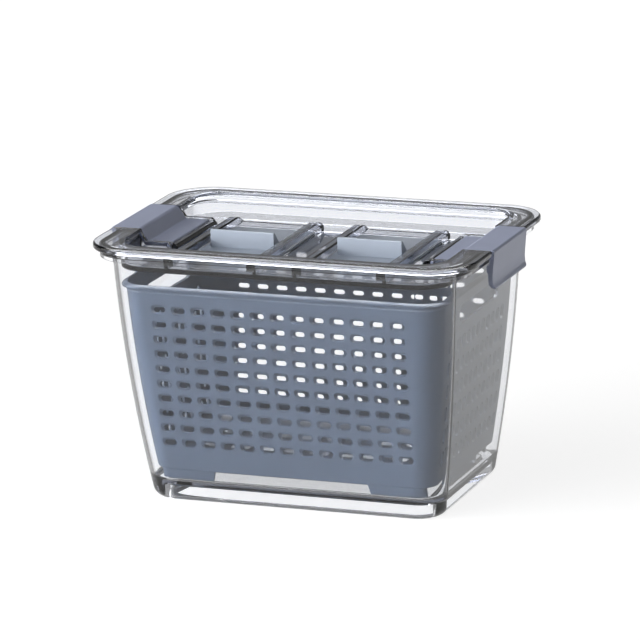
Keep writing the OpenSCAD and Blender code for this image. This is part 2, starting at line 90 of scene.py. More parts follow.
# Half widths of a clip and of the gap between its cheeks, the cheeks' outsides, and the line that it turns
# on, all in millimetres
CLIP_HALF, CHEEK_IN, CHEEK_OUT = 29.7, 30.1, 33.1
HINGE_X, HINGE_Z = 84, 152.1
PIN_R, BORE_R = 1.2, 1.25

# Middle of a vent plate, and its guides' height, front end and back end, in millimetres
SLIDER_X = 40.7
GUIDE_H, GUIDE_FRONT, GUIDE_END = 7.3, -72.25, 39.4

# How much light a metre of clear plastic takes, in the box and in the lid, and what colour it leaves
BOX_DENSITY, LID_DENSITY = 14, 80
CLEAR_DEPTH_COLOUR = (0.5, 0.54, 0.66)

# How strongly the floor glows where it is seen, and its share in reflections, through the clear plastic and
# in the sheen of a surface in front
FLOOR_GLOW = 0.85
FLOOR_BENT, FLOOR_CLEAR, FLOOR_SHEEN = 0.15, 1.15, 0.95

# Where the lamps and the camera aim, and the name, place, size and power of each lamp
LAMP_AIM, CAMERA_AIM = (0, 0, 0.08), (0, 0, 0.075)
LAMPS = (("key", (-2.6, -1.8, 1.3), 1.6, 10.0), ("fill", (2.6, 1.8, 1.2), 1.8, 5.0))

# What gloss and refraction see of the studio: horizon, dark flags, box overhead and box at the side
HORIZON, FLAG, OVERHEAD, SIDE_BOX = 0.35, 0.02, 7.0, 1.5
SIDE_BOX_WAY = (-1, -0.55, 0.45)

# What lights the keeper from all round: direction and strength of key and fill, and the rest
KEY, KEY_LIGHT = (-0.76, -0.65, 0.0), 13.5
FILL, FILL_LIGHT = (0.7, 0.71, 0.0), 1.6
AMBIENT = 0.02


# Sizes and colours

class KeeperSizes(bpy.types.PropertyGroup):
    """Sizes of the box and the basket"""
    mouth_width: FloatProperty(
        name="Mouth width", description="Outside width of the box at its mouth",
        default=0.217, unit="LENGTH")
    mouth_depth: FloatProperty(
        name="Mouth depth", description="Outside depth of the box at its mouth",
        default=0.154, unit="LENGTH")
    box_height: FloatProperty(
        name="Box height", description="Height of the box to the top of its rim",
        default=0.157, unit="LENGTH")
    wall: FloatProperty(
        name="Wall", description="Thickness of the box's wall",
        default=0.0025, unit="LENGTH")
    floor_height: FloatProperty(
        name="Floor height", description="Height of the box's inside floor",
        default=0.013, unit="LENGTH")
    basket_wall: FloatProperty(
        name="Basket wall", description="Thickness of the basket's wall",
        default=0.002, unit="LENGTH")
    basket_inset: FloatProperty(
        name="Basket inset", description="From the outside of the box to the outside of the basket",
        default=0.0049, unit="LENGTH")
    basket_top: FloatProperty(
        name="Basket top", description="Height of the basket's rolled rim",
        default=0.1373, unit="LENGTH")
    foot_height: FloatProperty(
        name="Foot height", description="Height of the feet under the basket's floor",
        default=0.007, unit="LENGTH")
    slot_length: FloatProperty(
        name="Slot length", description="Length of a slot at its narrowest",
        default=0.0072, unit="LENGTH")
    slot_width: FloatProperty(
        name="Slot width", description="Width of a slot at its narrowest",
        default=0.0033, unit="LENGTH")
    slot_flare: FloatProperty(
        name="Slot flare", description="Chamfer of a slot's lip at the outer face",
        default=0.0014, unit="LENGTH")
    slot_columns: IntProperty(
        name="Slot columns", description="Slots along a long wall",
        default=13, min=1)
    slot_rows: IntProperty(
        name="Slot rows", description="Rows of slots in a long wall",
        default=10, min=1)


class KeeperColours(bpy.types.PropertyGroup):
    """Colours of the plastics and of the stage"""
    clear: FloatVectorProperty(
        name="Clear plastic", description="Tint of the box and the lid",
        default=(0.97, 0.975, 0.985), size=3, subtype="COLOR", min=0, max=1)
    basket: FloatVectorProperty(
        name="Basket", description="Colour of the basket",
        default=(0.185, 0.25, 0.37), size=3, subtype="COLOR", min=0, max=1)
    clip: FloatVectorProperty(
        name="Clips", description="Colour of the clips",
        default=(0.32, 0.355, 0.49), size=3, subtype="COLOR", min=0, max=1)
    slider: FloatVectorProperty(
        name="Vent sliders", description="Colour of the vent sliders",
        default=(0.375, 0.425, 0.505), size=3, subtype="COLOR", min=0, max=1)
    backdrop: FloatVectorProperty(
        name="Floor", description="Colour of the floor",
        default=(0.4, 0.4, 0.4), size=3, subtype="COLOR", min=0, max=1)


class KeeperView(bpy.types.PropertyGroup):
    """Where the camera stands"""
    azimuth: FloatProperty(
        name="Azimuth", description="Turn of the camera to the right of the front",
        default=radians(21.296), subtype="ANGLE")
    elevation: FloatProperty(
        name="Elevation", description="Height angle of the camera",
        default=radians(15.398), subtype="ANGLE")
    roll: FloatProperty(
        name="Roll", description="Turn of the camera about its own line of sight",
        default=radians(-1.68), subtype="ANGLE")
    distance: FloatProperty(
        name="Distance", description="From the camera to the middle of the keeper",
        default=3.1173, unit="LENGTH")
    lens: FloatProperty(
        name="Lens", description="Focal length of the camera in millimetres",
        default=290.3)
    shift_x: FloatProperty(
        name="Shift across", description="Sideways shift of the lens",
        default=-0.00303)
    shift_y: FloatProperty(
        name="Shift up", description="Upward shift of the lens",
        default=0.07034)


# Modelling steps

def fresh():
    """Leaves edit mode and deselects everything, because an operator acts on all that is selected."""
    if bpy.context.object and bpy.context.object.mode != "OBJECT":
        bpy.ops.object.mode_set(mode="OBJECT")
    bpy.ops.object.select_all(action="DESELECT")


def begin(name):
    """Starts an empty piece and enters its edit mode."""
    fresh()
    bpy.ops.mesh.primitive_plane_add(size=0.01)
    piece = bpy.context.object
    piece.name = piece.data.name = name
    bpy.ops.object.mode_set(mode="EDIT")
    bpy.ops.mesh.delete(type="VERT")
    return piece


def close_up():
    """Turns all faces outwards and leaves edit mode."""
    bpy.ops.mesh.select_all(action="SELECT")
    bpy.ops.mesh.normals_make_consistent(inside=False)
    bpy.ops.object.mode_set(mode="OBJECT")


def pick(piece, numbers):
    """Selects the points with these numbers in the mesh that is being edited."""
    bm = bmesh.from_edit_mesh(piece.data)
    bm.verts.ensure_lookup_table()
    for v in bm.verts:
        v.select = False
    bm.select_flush(False)
    for n in numbers:
        bm.verts[n].select = True
    bm.select_flush(True)
    bmesh.update_edit_mesh(piece.data)


def skin(name, rings):
    """A closed piece skinned over rounded rectangles, each half width, half depth, corner radius and height.
    Two rings in one plane are held apart while they are bridged, because a bridge between them can twist."""
    piece = begin(name)
    for w, d, r, z in rings:
        bpy.ops.mesh.primitive_plane_add(size=2, location=(0, 0, z))
        bpy.ops.transform.resize(value=(w, d, 1), center_override=(0, 0, z))
        bpy.ops.mesh.bevel(offset=r, segments=CORNER_STEPS, affect="VERTICES")
        bpy.ops.mesh.delete(type="ONLY_FACE")
    n = 4 * (CORNER_STEPS + 1)
    for k in range(len(rings) - 1):
        lift = MM if abs(rings[k][3] - rings[k + 1][3]) < 0.01 * MM else 0
        pick(piece, range((k + 1) * n, (k + 2) * n))
        bpy.ops.transform.translate(value=(0, 0, lift))
        pick(piece, range(k * n, (k + 2) * n))
        bpy.ops.mesh.bridge_edge_loops()
        pick(piece, range((k + 1) * n, (k + 2) * n))
        bpy.ops.transform.translate(value=(0, 0, -lift))
    for k in (0, len(rings) - 1):
        pick(piece, range(k * n, (k + 1) * n))
        bpy.ops.mesh.edge_face_add()
    close_up()
    return piece


def prism(name, points, start, end):
    """A piece whose section is drawn point by point in X and Z, and then drawn out along Y."""
    piece = begin(name)
    bpy.ops.mesh.primitive_plane_add(size=0.0001, location=(points[0][0], start, points[0][1]))
    bpy.ops.mesh.merge(type="CENTER")
    for (x0, z0), (x1, z1) in zip(points, points[1:]):
        bpy.ops.mesh.extrude_vertices_move(TRANSFORM_OT_translate={"value": (x1 - x0, 0, z1 - z0)})
    bpy.ops.mesh.select_all(action="SELECT")
    bpy.ops.mesh.edge_face_add()
    bpy.ops.mesh.extrude_region_move(TRANSFORM_OT_translate={"value": (0, end - start, 0)})
    close_up()
    return piece


def only(piece):
    """Makes a piece the one that is selected and active."""
    fresh()
    piece.select_set(True)
    bpy.context.view_layer.objects.active = piece


def finish_modifier(piece, modifier):
    """Applies a modifier."""
    only(piece)
    bpy.ops.object.modifier_apply(modifier=modifier.name)


def place_in_mesh(piece):
    """Puts a piece's place, turn and scale into its mesh."""
    only(piece)
    bpy.ops.object.transform_apply(location=True, rotation=True, scale=True)


def soften(piece, width, segments=2, angle=30):
    """Rounds the sharp edges of a piece."""
    edges = piece.modifiers.new("Edges", "BEVEL")
    edges.width = width
    edges.segments = segments
    edges.limit_method = "ANGLE"
    edges.angle_limit = radians(angle)
    finish_modifier(piece, edges)
    return piece


def combine(piece, other, operation):
    """Cuts another piece from this one, or unites the two."""
    cut = piece.modifiers.new("Cut", "BOOLEAN")
    cut.operation = operation
    cut.solver = "MANIFOLD"
    cut.object = other
    finish_modifier(piece, cut)
    bpy.data.objects.remove(other)
    return piece


def copy_of(piece, matrix):
    """A copy of a piece with a mesh of its own, moved, turned or mirrored in that mesh."""
    other = piece.copy()
    other.data = piece.data.copy()
    bpy.context.collection.objects.link(other)
    other.data.transform(matrix)
    if matrix.determinant() < 0:
        other.data.flip_normals()
    return other


def rod(radius, length, side):
    """A rod along the line that a clip turns on, with its sizes in millimetres."""
    fresh()
    place = (side * HINGE_X * MM, 0, HINGE_Z * MM)
    bpy.ops.mesh.primitive_cylinder_add(vertices=24, radius=radius * MM, depth=length * MM,
                                        rotation=(pi / 2, 0, 0), location=place)
    place_in_mesh(bpy.context.object)
    return bpy.context.object


def block(place, size):
    """A box, by its middle and its size along each axis."""
    fresh()
    bpy.ops.mesh.primitive_cube_add(size=1, location=place)
    bpy.context.object.scale = size
    place_in_mesh(bpy.context.object)
    return bpy.context.object


def joined(pieces):
    """One piece from several, for a single cut with them all."""
    fresh()
    for piece in pieces:
        piece.select_set(True)
    bpy.context.view_layer.objects.active = pieces[0]
    bpy.ops.object.join()
    return pieces[0]


def dress(piece, body, slot, material, *nodes, angle=35):
    """Shades a finished piece, gives it its material and lets it ride with its body."""
    place_in_mesh(piece)
    bpy.ops.object.shade_smooth_by_angle(angle=radians(angle))
    normals = piece.modifiers.new("Normals", "WEIGHTED_NORMAL")
    normals.keep_sharp = True
    finish_modifier(piece, normals)
    piece.data.materials.clear()
    piece.data.materials.append(material)
    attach(piece, body)
    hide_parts(*nodes)
    return piece


# Materials

def new_material(name):
    """A new material and its nodes, or the material of that name and None if it is there already."""
    material = bpy.data.materials.get(name)
    if material:
        return material, None
    material = bpy.data.materials.new(name)
    material.use_nodes = True
    return material, material.node_tree


def grain(tree, scale, detail=3.0):
    """A noise that stays with the piece."""
    place = tree.nodes.new("ShaderNodeTexCoord")
    mapping = tree.nodes.new("ShaderNodeMapping")
    noise = tree.nodes.new("ShaderNodeTexNoise")
    noise.inputs["Scale"].default_value = scale
    noise.inputs["Detail"].default_value = detail
    tree.links.new(place.outputs["Object"], mapping.inputs["Vector"])
    tree.links.new(mapping.outputs["Vector"], noise.inputs["Vector"])
    return noise


def clear_plastic(name, tint, density, roughness=0.02):
    """Clear moulded plastic, with the slight waviness of its faces."""
    material, tree = new_material(name)
    if tree is None:
        return material
    shader = tree.nodes["Principled BSDF"]
    shader.inputs["Base Color"].default_value = (*tint, 1)
    shader.inputs["Transmission Weight"].default_value = 1
    shader.inputs["IOR"].default_value = 1.49
    waves = grain(tree, 45, 1.0)
    spread = tree.nodes.new("ShaderNodeMapRange")
    spread.inputs["To Min"].default_value = roughness
    spread.inputs["To Max"].default_value = roughness * 2
    bump = tree.nodes.new("ShaderNodeBump")
    bump.inputs["Strength"].default_value = 0.06
    bump.inputs["Distance"].default_value = 0.0006
    tree.links.new(waves.outputs["Fac"], spread.inputs["Value"])
    tree.links.new(spread.outputs["Result"], shader.inputs["Roughness"])
    tree.links.new(waves.outputs["Fac"], bump.inputs["Height"])
    tree.links.new(bump.outputs["Normal"], shader.inputs["Normal"])
    body = tree.nodes.new("ShaderNodeVolumeAbsorption")
    body.inputs["Color"].default_value = (*CLEAR_DEPTH_COLOUR, 1)
    body.inputs["Density"].default_value = density
    tree.links.new(body.outputs["Volume"], tree.nodes["Material Output"].inputs["Volume"])
    return material


def satin_plastic(name, colour, roughness=0.38, coat=0.0):
    """Coloured satin plastic, with a fine grain and a slight cloudiness in its colour."""
    material, tree = new_material(name)
    if tree is None:
        return material
    shader = tree.nodes["Principled BSDF"]
    shader.inputs["IOR"].default_value = 1.5
    shader.inputs["Coat Weight"].default_value = coat
    shader.inputs["Coat Roughness"].default_value = 0.15
    shader.inputs["Coat IOR"].default_value = 1.7
    clouds = grain(tree, 25)
    ramp = tree.nodes.new("ShaderNodeValToRGB")
    ramp.color_ramp.elements[0].position = 0.3
    ramp.color_ramp.elements[1].position = 0.7
    ramp.color_ramp.elements[0].color = (*[c * 0.96 for c in colour], 1)
    ramp.color_ramp.elements[1].color = (*[c * 1.04 for c in colour], 1)
    fine = grain(tree, 1800)
    spread = tree.nodes.new("ShaderNodeMapRange")
    spread.inputs["To Min"].default_value = roughness - 0.04
    spread.inputs["To Max"].default_value = roughness + 0.07
    bump = tree.nodes.new("ShaderNodeBump")
    bump.inputs["Strength"].default_value = 0.12
    bump.inputs["Distance"].default_value = 0.00004
    tree.links.new(clouds.outputs["Fac"], ramp.inputs["Fac"])
    tree.links.new(ramp.outputs["Color"], shader.inputs["Base Color"])
    tree.links.new(fine.outputs["Fac"], spread.inputs["Value"])
    tree.links.new(spread.outputs["Result"], shader.inputs["Roughness"])
    tree.links.new(fine.outputs["Fac"], bump.inputs["Height"])
    tree.links.new(bump.outputs["Normal"], shader.inputs["Normal"])
    return material


# The tapered form of the box and the basket

def lean(sizes, z):
    """How far in the end walls stand at a height, with a bow that keeps them further out at mid height."""
    t = 1 - z / sizes.box_height
    return LEAN * t + BOW * t * t


def slope(sizes, z):
    """Slope of the end walls at a height."""
    t = 1 - z / sizes.box_height
    return (LEAN + 2 * BOW * t) / sizes.box_height


def outline(sizes, z, inset, end_inset=0.0):
    """Half width, half depth, corner radius and height of the tapered form."""
    radius = FOOT_CORNER + (MOUTH_CORNER - FOOT_CORNER) * z / sizes.box_height
    return (sizes.mouth_width / 2 - lean(sizes, z) - inset - end_inset,
            sizes.mouth_depth / 2 - LONG_WALL_LEAN * lean(sizes, z) - inset, radius - inset, z)


def grown(ring, out, z):
    """A rounded rectangle grown by the same amount all round, at a height."""
    return (ring[0] + out, ring[1] + out, ring[2] + out, z)


def rounded(start, stop, steps, level):
    """Rings along an arc, from one angle in degrees to another."""
    return [level(radians(start + (stop - start) * k / steps)) for k in range(steps + 1)]


def levels(sizes, low, high, steps, inset, end_inset=0.0):
    """Rings between two heights, without the ones at the ends."""
    return [outline(sizes, low + (high - low) * k / steps, inset, end_inset) for k in range(1, steps)]


# The pieces

class KEEPER_OT_box(bpy.types.Operator):
    """Model the clear box with its flanged rim, raised floor and foot ring"""
    bl_idname = "keeper.box"
    bl_label = "Clear box"
    bl_options = {"REGISTER", "UNDO"}

    def execute(self, context):
        s = context.scene.keeper_sizes
        height = s.box_height
        ring_in, hollow = 9 * MM, 10 * MM
        foot = outline(s, 0, ring_in)
        mouth = outline(s, height, s.wall)
        small = 0.8 * MM
        lip, shelf = height - 5 * MM, height - 3.4 * MM
        rings = [grown(foot, -small, hollow), grown(foot, 0, hollow - small), grown(foot, 0, small),
                 grown(foot, 0.3 * small, 0.3 * small), grown(foot, small, 0)]
        base_r = 6 * MM
        rings += rounded(90, 0, 6, lambda a: outline(s, base_r * (1 - sin(a)), base_r * (1 - cos(a))))
        rings += levels(s, base_r, shelf, 12, 0)
        rings += [outline(s, shelf, 0),
                  outline(s, height - 2.8 * MM, -0.2 * MM),
                  grown(BOX_RIM, -2.6 * MM, height - 2.6 * MM),
                  grown(BOX_RIM, -2.2 * MM, height - 2.9 * MM),
                  grown(BOX_RIM, -2.2 * MM, height - 4.8 * MM),
                  grown(BOX_RIM, -2.0 * MM, lip)]
        rings += rounded(-90, 0, 3, lambda a: grown(BOX_RIM, -small * (1 - cos(a)),
                                                    lip + small * (1 + sin(a))))
        rings += rounded(0, 90, 3, lambda a: grown(BOX_RIM, -small * (1 - cos(a)),
                                                   height - small * (1 - sin(a))))
        rings += rounded(90, 0, 3, lambda a: grown(mouth, small * (1 - cos(a)),
                                                   height - small * (1 - sin(a))))
        floor_r = 3 * MM
        rings += levels(s, height - small, s.floor_height + floor_r, 12, s.wall)
        rings += rounded(0, 90, 5, lambda a: outline(s, s.floor_height + floor_r * (1 - sin(a)),
                                                     s.wall + floor_r * (1 - cos(a))))
        piece = skin("box_shell", rings)
        material = clear_plastic("clear_box_plastic", context.scene.keeper_colours.clear, BOX_DENSITY)
        dress(piece, "keeper", "clear_box", material, "outer_box")
        return {"FINISHED"}


def slot_cutter(length, width, flare, inside, outside):
    """A slot's cutter, lying along Y, with a chamfered lip where it leaves the outer face at Y = 0."""
    fresh()
    bpy.ops.mesh.primitive_cylinder_add(vertices=16, radius=width / 2, depth=inside - flare,
                                        rotation=(pi / 2, 0, 0), location=(0, (inside + flare) / 2, 0))
    piece = bpy.context.object
    place_in_mesh(piece)
    piece.data.transform(Matrix.Rotation(pi / 16, 4, "Y"))
    bpy.ops.object.mode_set(mode="EDIT")
    for side in (-1, 1):
        bm = bmesh.from_edit_mesh(piece.data)
        pick(piece, [v.index for v in bm.verts if v.co.x * side > 0])
        bpy.ops.transform.translate(value=(side * (length - width) / 2, 0, 0))
    bpy.ops.mesh.select_all(action="DESELECT")
    bm = bmesh.from_edit_mesh(piece.data)
    for face in bm.faces:
        face.select = face.normal.y < -0.9
    bmesh.update_edit_mesh(piece.data)
    y, grow = flare, 0.0
    for end, wide in ((0.1 * flare, 0.85 * flare), (0.0, 1.1 * flare), (-outside, 1.1 * flare)):
        bpy.ops.mesh.extrude_region_move(TRANSFORM_OT_translate={"value": (0, end - y, 0)})
        longer = (length + 2 * wide) / (length + 2 * grow)
        wider = (width + 2 * wide) / (width + 2 * grow)
        bpy.ops.transform.resize(value=(longer, 1, wider), center_override=(0, end, 0))
        y, grow = end, wide
    close_up()
    return piece


class KEEPER_OT_basket(bpy.types.Operator):
    """Model the slotted basket with its rolled rim, hand holes and feet"""
    bl_idname = "keeper.basket"
    bl_label = "Slotted basket"
    bl_options = {"REGISTER", "UNDO"}

    def execute(self, context):
        s = context.scene.keeper_sizes
        inset, end, wall, top = s.basket_inset, BASKET_END_GAP, s.basket_wall, s.basket_top
        foot_z, floor_z = s.floor_height, s.floor_height + s.foot_height
        inner = inset + wall
        r, foot_r, edge_r = 0.8 * MM, 0.6 * MM, 1.4 * MM
        foot_out, foot_in = inset + edge_r, inset + edge_r + 2 * MM

        def edge(z, way_in, radius, start, stop, steps):
            """Rings round an edge that turns from level to upright, or back."""
            return rounded(start, stop, steps, lambda a: outline(s, z + radius * (1 - sin(a)),
                                                                 way_in + radius * (1 - cos(a)), end))

        rings = [outline(s, floor_z, foot_in + r, end), outline(s, floor_z - r, foot_in, end),
                 outline(s, foot_z, foot_in, end)]
        rings += edge(foot_z, foot_out, foot_r, 90, 0, 2)
        rings += edge(floor_z, inset, edge_r, 90, 0, 4)
        rim_h, rim_out, groove = 3.4 * MM, 1.3 * MM, 0.5 * MM
        rim_z = top - rim_h
        rings += levels(s, floor_z + edge_r, rim_z - 1.4 * MM, 12, inset, end)
        rings += [outline(s, rim_z - 1.4 * MM, inset, end), outline(s, rim_z - 0.6 * MM, inset + groove, end),
                  outline(s, rim_z + 0.1 * MM, inset + groove, end)]
        rings += rounded(20, 180, 12, lambda a: outline(s, rim_z + rim_h * (1 - cos(a)) / 2,
                                                        inset + wall / 2 - (wall / 2 + rim_out) * sin(a),
                                                        end * (1 - sin(a))))
        floor_r = 3 * MM
        rings += levels(s, top - r, floor_z + wall + floor_r, 12, inner, end)
        rings += edge(floor_z + wall, inner, floor_r, 0, 90, 5)
        piece = skin("basket_shell", rings)
        cutters = self.slots(s) + self.foot_gaps(foot_z, floor_z)
        combine(piece, joined(cutters), "DIFFERENCE")
        material = satin_plastic("basket_satin", context.scene.keeper_colours.basket, coat=1.0)
        dress(piece, "keeper", "basket_plastic", material, "basket", angle=24)
        return {"FINISHED"}

    def slots(self, s):
        """Cutters for the slots of the walls and the floor, and for the hand holes, tilted to the walls."""
        out = []
        deep, clear = 4 * MM, 3 * MM
        long_slot = slot_cutter(s.slot_length, s.slot_width, s.slot_flare, deep, clear)
        hole = slot_cutter(70 * MM, 11 * MM, 0.6 * MM, deep, clear)
        top = s.basket_top
        first, down, across = LONG_SLOTS
        for row in range(s.slot_rows):
            out += self.row(s, long_slot, top - first - row * down, s.slot_columns, across, 0)
        upright = copy_of(long_slot, Matrix.Rotation(pi / 2, 4, "Y"))
        first, down, across = END_SLOTS
        for row in range(END_ROWS):
            out += self.row(s, upright, top - first - row * down, END_COLUMNS, across, 1)
        out += self.row(s, hole, top - HAND_HOLE_DOWN, 1, 0, 1)
        drain = slot_cutter(11 * MM, s.slot_width, s.slot_flare, deep, clear)
        drain.data.transform(Matrix.Rotation(-pi / 2, 4, "X"))
        drain_z = s.floor_height + s.foot_height + s.basket_wall
        for i in range(DRAIN_COLUMNS):
            x = (i - (DRAIN_COLUMNS - 1) / 2) * DRAIN_PITCH[0]
            for j in range(DRAIN_ROWS):
                y = (j - (DRAIN_ROWS - 1) / 2) * DRAIN_PITCH[1]
                out.append(copy_of(drain, Matrix.Translation((x, y, drain_z))))
        for used in (long_slot, hole, upright, drain):
            bpy.data.objects.remove(used)
        return out

    def row(self, s, cutter, z, count, pitch, end):
        """A row of cutters in both long walls, or in both end walls."""
        half = outline(s, z, s.basket_inset, BASKET_END_GAP)[1 - end]
        tilt = Matrix.Rotation(-slope(s, z) * (1 if end else LONG_WALL_LEAN), 4, "X")
        out = []
        for i in range(count):
            place = Matrix.Translation(((i - (count - 1) / 2) * pitch, -half, z)) @ tilt
            for turn in (0, pi):
                out.append(copy_of(cutter, Matrix.Rotation(turn + end * pi / 2, 4, "Z") @ place))
        return out

    def foot_gaps(self, foot_z, floor_z):
        """Cutters that leave the feet standing under the walls."""
        low = foot_z - 1 * MM
        points = [(-51 * MM, low), (51 * MM, low), (49 * MM, floor_z), (-49 * MM, floor_z)]
        out = [prism("gap", points, -0.1, 0.1)]
        for x in (-1, 1):
            for y in (-1, 1):
                middle = (x * 104 * MM, y * 62 * MM, (low + floor_z) / 2)
                out.append(block(middle, (40 * MM, 80 * MM, floor_z - low)))
        return out


class KEEPER_OT_lid(bpy.types.Operator):
    """Model the clear lid with its ring, recess, hinge cheeks, guides and vents"""
    bl_idname = "keeper.lid"
    bl_label = "Clear lid"
    bl_options = {"REGISTER", "UNDO"}

    def execute(self, context):
        s = context.scene.keeper_sizes
        rim_z = s.box_height
        floor = TOP - RECESS_DROP
        t = LID_WALL
        small, edge = 0.8 * MM, 1.5 * MM
        seat, shoulder = rim_z + 0.7 * MM, rim_z + 1.5 * MM
        rings = [grown(RECESS, t - small, floor - t), grown(RECESS, t, floor - t + small),
                 grown(RECESS, t, seat), grown(RECESS, t + small, shoulder),
                 grown(LID_CHANNEL, -small, shoulder), grown(LID_CHANNEL, 0, seat),
                 grown(LID_CHANNEL, 0, rim_z)]
        rings += rounded(-90, 0, 4, lambda a: grown(LID_RING, -edge * (1 - cos(a)),
                                                    rim_z + edge * (1 + sin(a))))
        rings += rounded(0, 90, 4, lambda a: grown(LID_RING, -edge * (1 - cos(a)),
                                                   TOP - edge * (1 - sin(a))))
        rings += rounded(90, 0, 4, lambda a: grown(RECESS, small * (1 - cos(a)),
                                                   TOP - small * (1 - sin(a))))
        rings += rounded(0, 90, 3, lambda a: grown(RECESS, -small * (1 - cos(a)),
                                                   floor + small * (1 - sin(a))))
        piece = skin("lid_shell", rings)
        for part in self.fillings():
            combine(piece, part, "UNION")
        for side in (-1, 1):
            combine(piece, self.notch(side), "DIFFERENCE")
            for part in self.mount(side) + self.guides(side, floor):
                combine(piece, part, "UNION")
            combine(piece, joined(self.bores_and_vents(side, floor)), "DIFFERENCE")
        material = clear_plastic("clear_lid_plastic", context.scene.keeper_colours.clear, LID_DENSITY)
        dress(piece, "keeper", "clear_lid", material, "lid")
        return {"FINISHED"}

    def fillings(self):
        """What fills the ring's channel under the clips and beside them."""
        size = (12 * MM, 2 * CHEEK_OUT * MM, 2 * MM)
        return [block((side * 109 * MM, 0, TOP - 3 * MM), size) for side in (-1, 1)]

    def mirrored(self, points, side):
        """Points in millimetres for the right end, as metres for either end."""
        return [(x * side * MM, z * MM) for x, z in points]

    def notch(self, side):
        """The space that a closed clip fills in the lid's end."""
        points = [(79.1, 150.5), (100.54, 150.5), (104.84, 158.2), (116.4, 158.2), (116.4, 156), (124, 156),
                  (124, 162), (79.1, 162)]
        return prism("notch", self.mirrored(points, side), -CHEEK_IN * MM, CHEEK_IN * MM)

    def mount(self, side):
        """The cheeks and the bar that carry a clip's hinge."""
        low = 147.25
        cheek = [(80, low), (80, 152.6), (81.5, 154.1), (98.7, 154.1), (102.5, 161), (103.25, 161),
                 (103.25, low)]
        bar = [(77.9, low), (77.9, 151.1), (79.4, 152.8), (81.8, 152.8), (82.4, 152.1), (82.4, low)]
        bar_half = (CHEEK_IN + CHEEK_OUT) / 2
        out = []
        for y in (-1, 1):
            start, stop = sorted((y * CHEEK_IN * MM, y * CHEEK_OUT * MM))
            out.append(soften(prism("cheek", self.mirrored(cheek, side), start, stop), 0.35 * MM))
        out.append(soften(prism("bar", self.mirrored(bar, side), -bar_half * MM, bar_half * MM), 0.3 * MM))
        return out

    def guides(self, side, floor):
        """The guides beside a vent plate and the stop wall behind it."""
        x0 = side * SLIDER_X
        out = []
        z0, lap, top = floor / MM - 1.25, floor / MM + 2.05, floor / MM + GUIDE_H
        inner, outer, bevel = 23.3, 29.3, 0.8
        section = [(26.9, z0), (26.9, lap), (inner, lap), (inner, top - bevel), (inner + bevel, top),
                   (outer - bevel, top), (outer, top - bevel), (outer, z0)]
        for way in (-1, 1):
            points = [((x0 + way * x) * MM, z * MM) for x, z in section]
            guide = prism("guide", points, GUIDE_FRONT * MM, GUIDE_END * MM)
            combine(guide, self.slope_cutter(floor), "DIFFERENCE")
            out.append(soften(guide, 0.3 * MM))
        stop_t, stop_h = 2.4, 4.25
        stop = block((x0 * MM, (GUIDE_END - stop_t / 2) * MM, floor + 0.875 * MM),
                     (2 * outer * MM, stop_t * MM, stop_h * MM))
        out.append(soften(stop, 0.4 * MM))
        return out

    def slope_cutter(self, floor):
        """What rounds the far end of a guide down to the stop wall."""
        top, low, end, length = floor / MM + GUIDE_H, floor / MM + 3, GUIDE_END, 11
        r = (length ** 2 + (top - low) ** 2) / 2 / (top - low)
        curve = [(end - length + r * sin(a), top - r + r * cos(a)) for a in (k * 0.095 for k in range(9))]
        far, high = 60, 170
        points = curve + [(far, curve[-1][1]), (far, high), (curve[0][0], high)]
        cutter = prism("slope", [(x * MM, z * MM) for x, z in points], -0.1, 0.1)
        cutter.data.transform(Matrix.Rotation(pi / 2, 4, "Z"))
        return cutter

    def bores_and_vents(self, side, floor):
        """Cutters for a hinge's bores and for the slots under a vent plate."""
        out = [rod(BORE_R, 72.2, side)]
        vent = slot_cutter(36 * MM, 5 * MM, 0.5 * MM, 4 * MM, 1 * MM)
        vent.data.transform(Matrix.Rotation(-pi / 2, 4, "X"))
        for j in (-1, 0, 1):
            out.append(copy_of(vent, Matrix.Translation((side * SLIDER_X * MM, (17 + j * 8) * MM, floor))))
        bpy.data.objects.remove(vent)
        return out


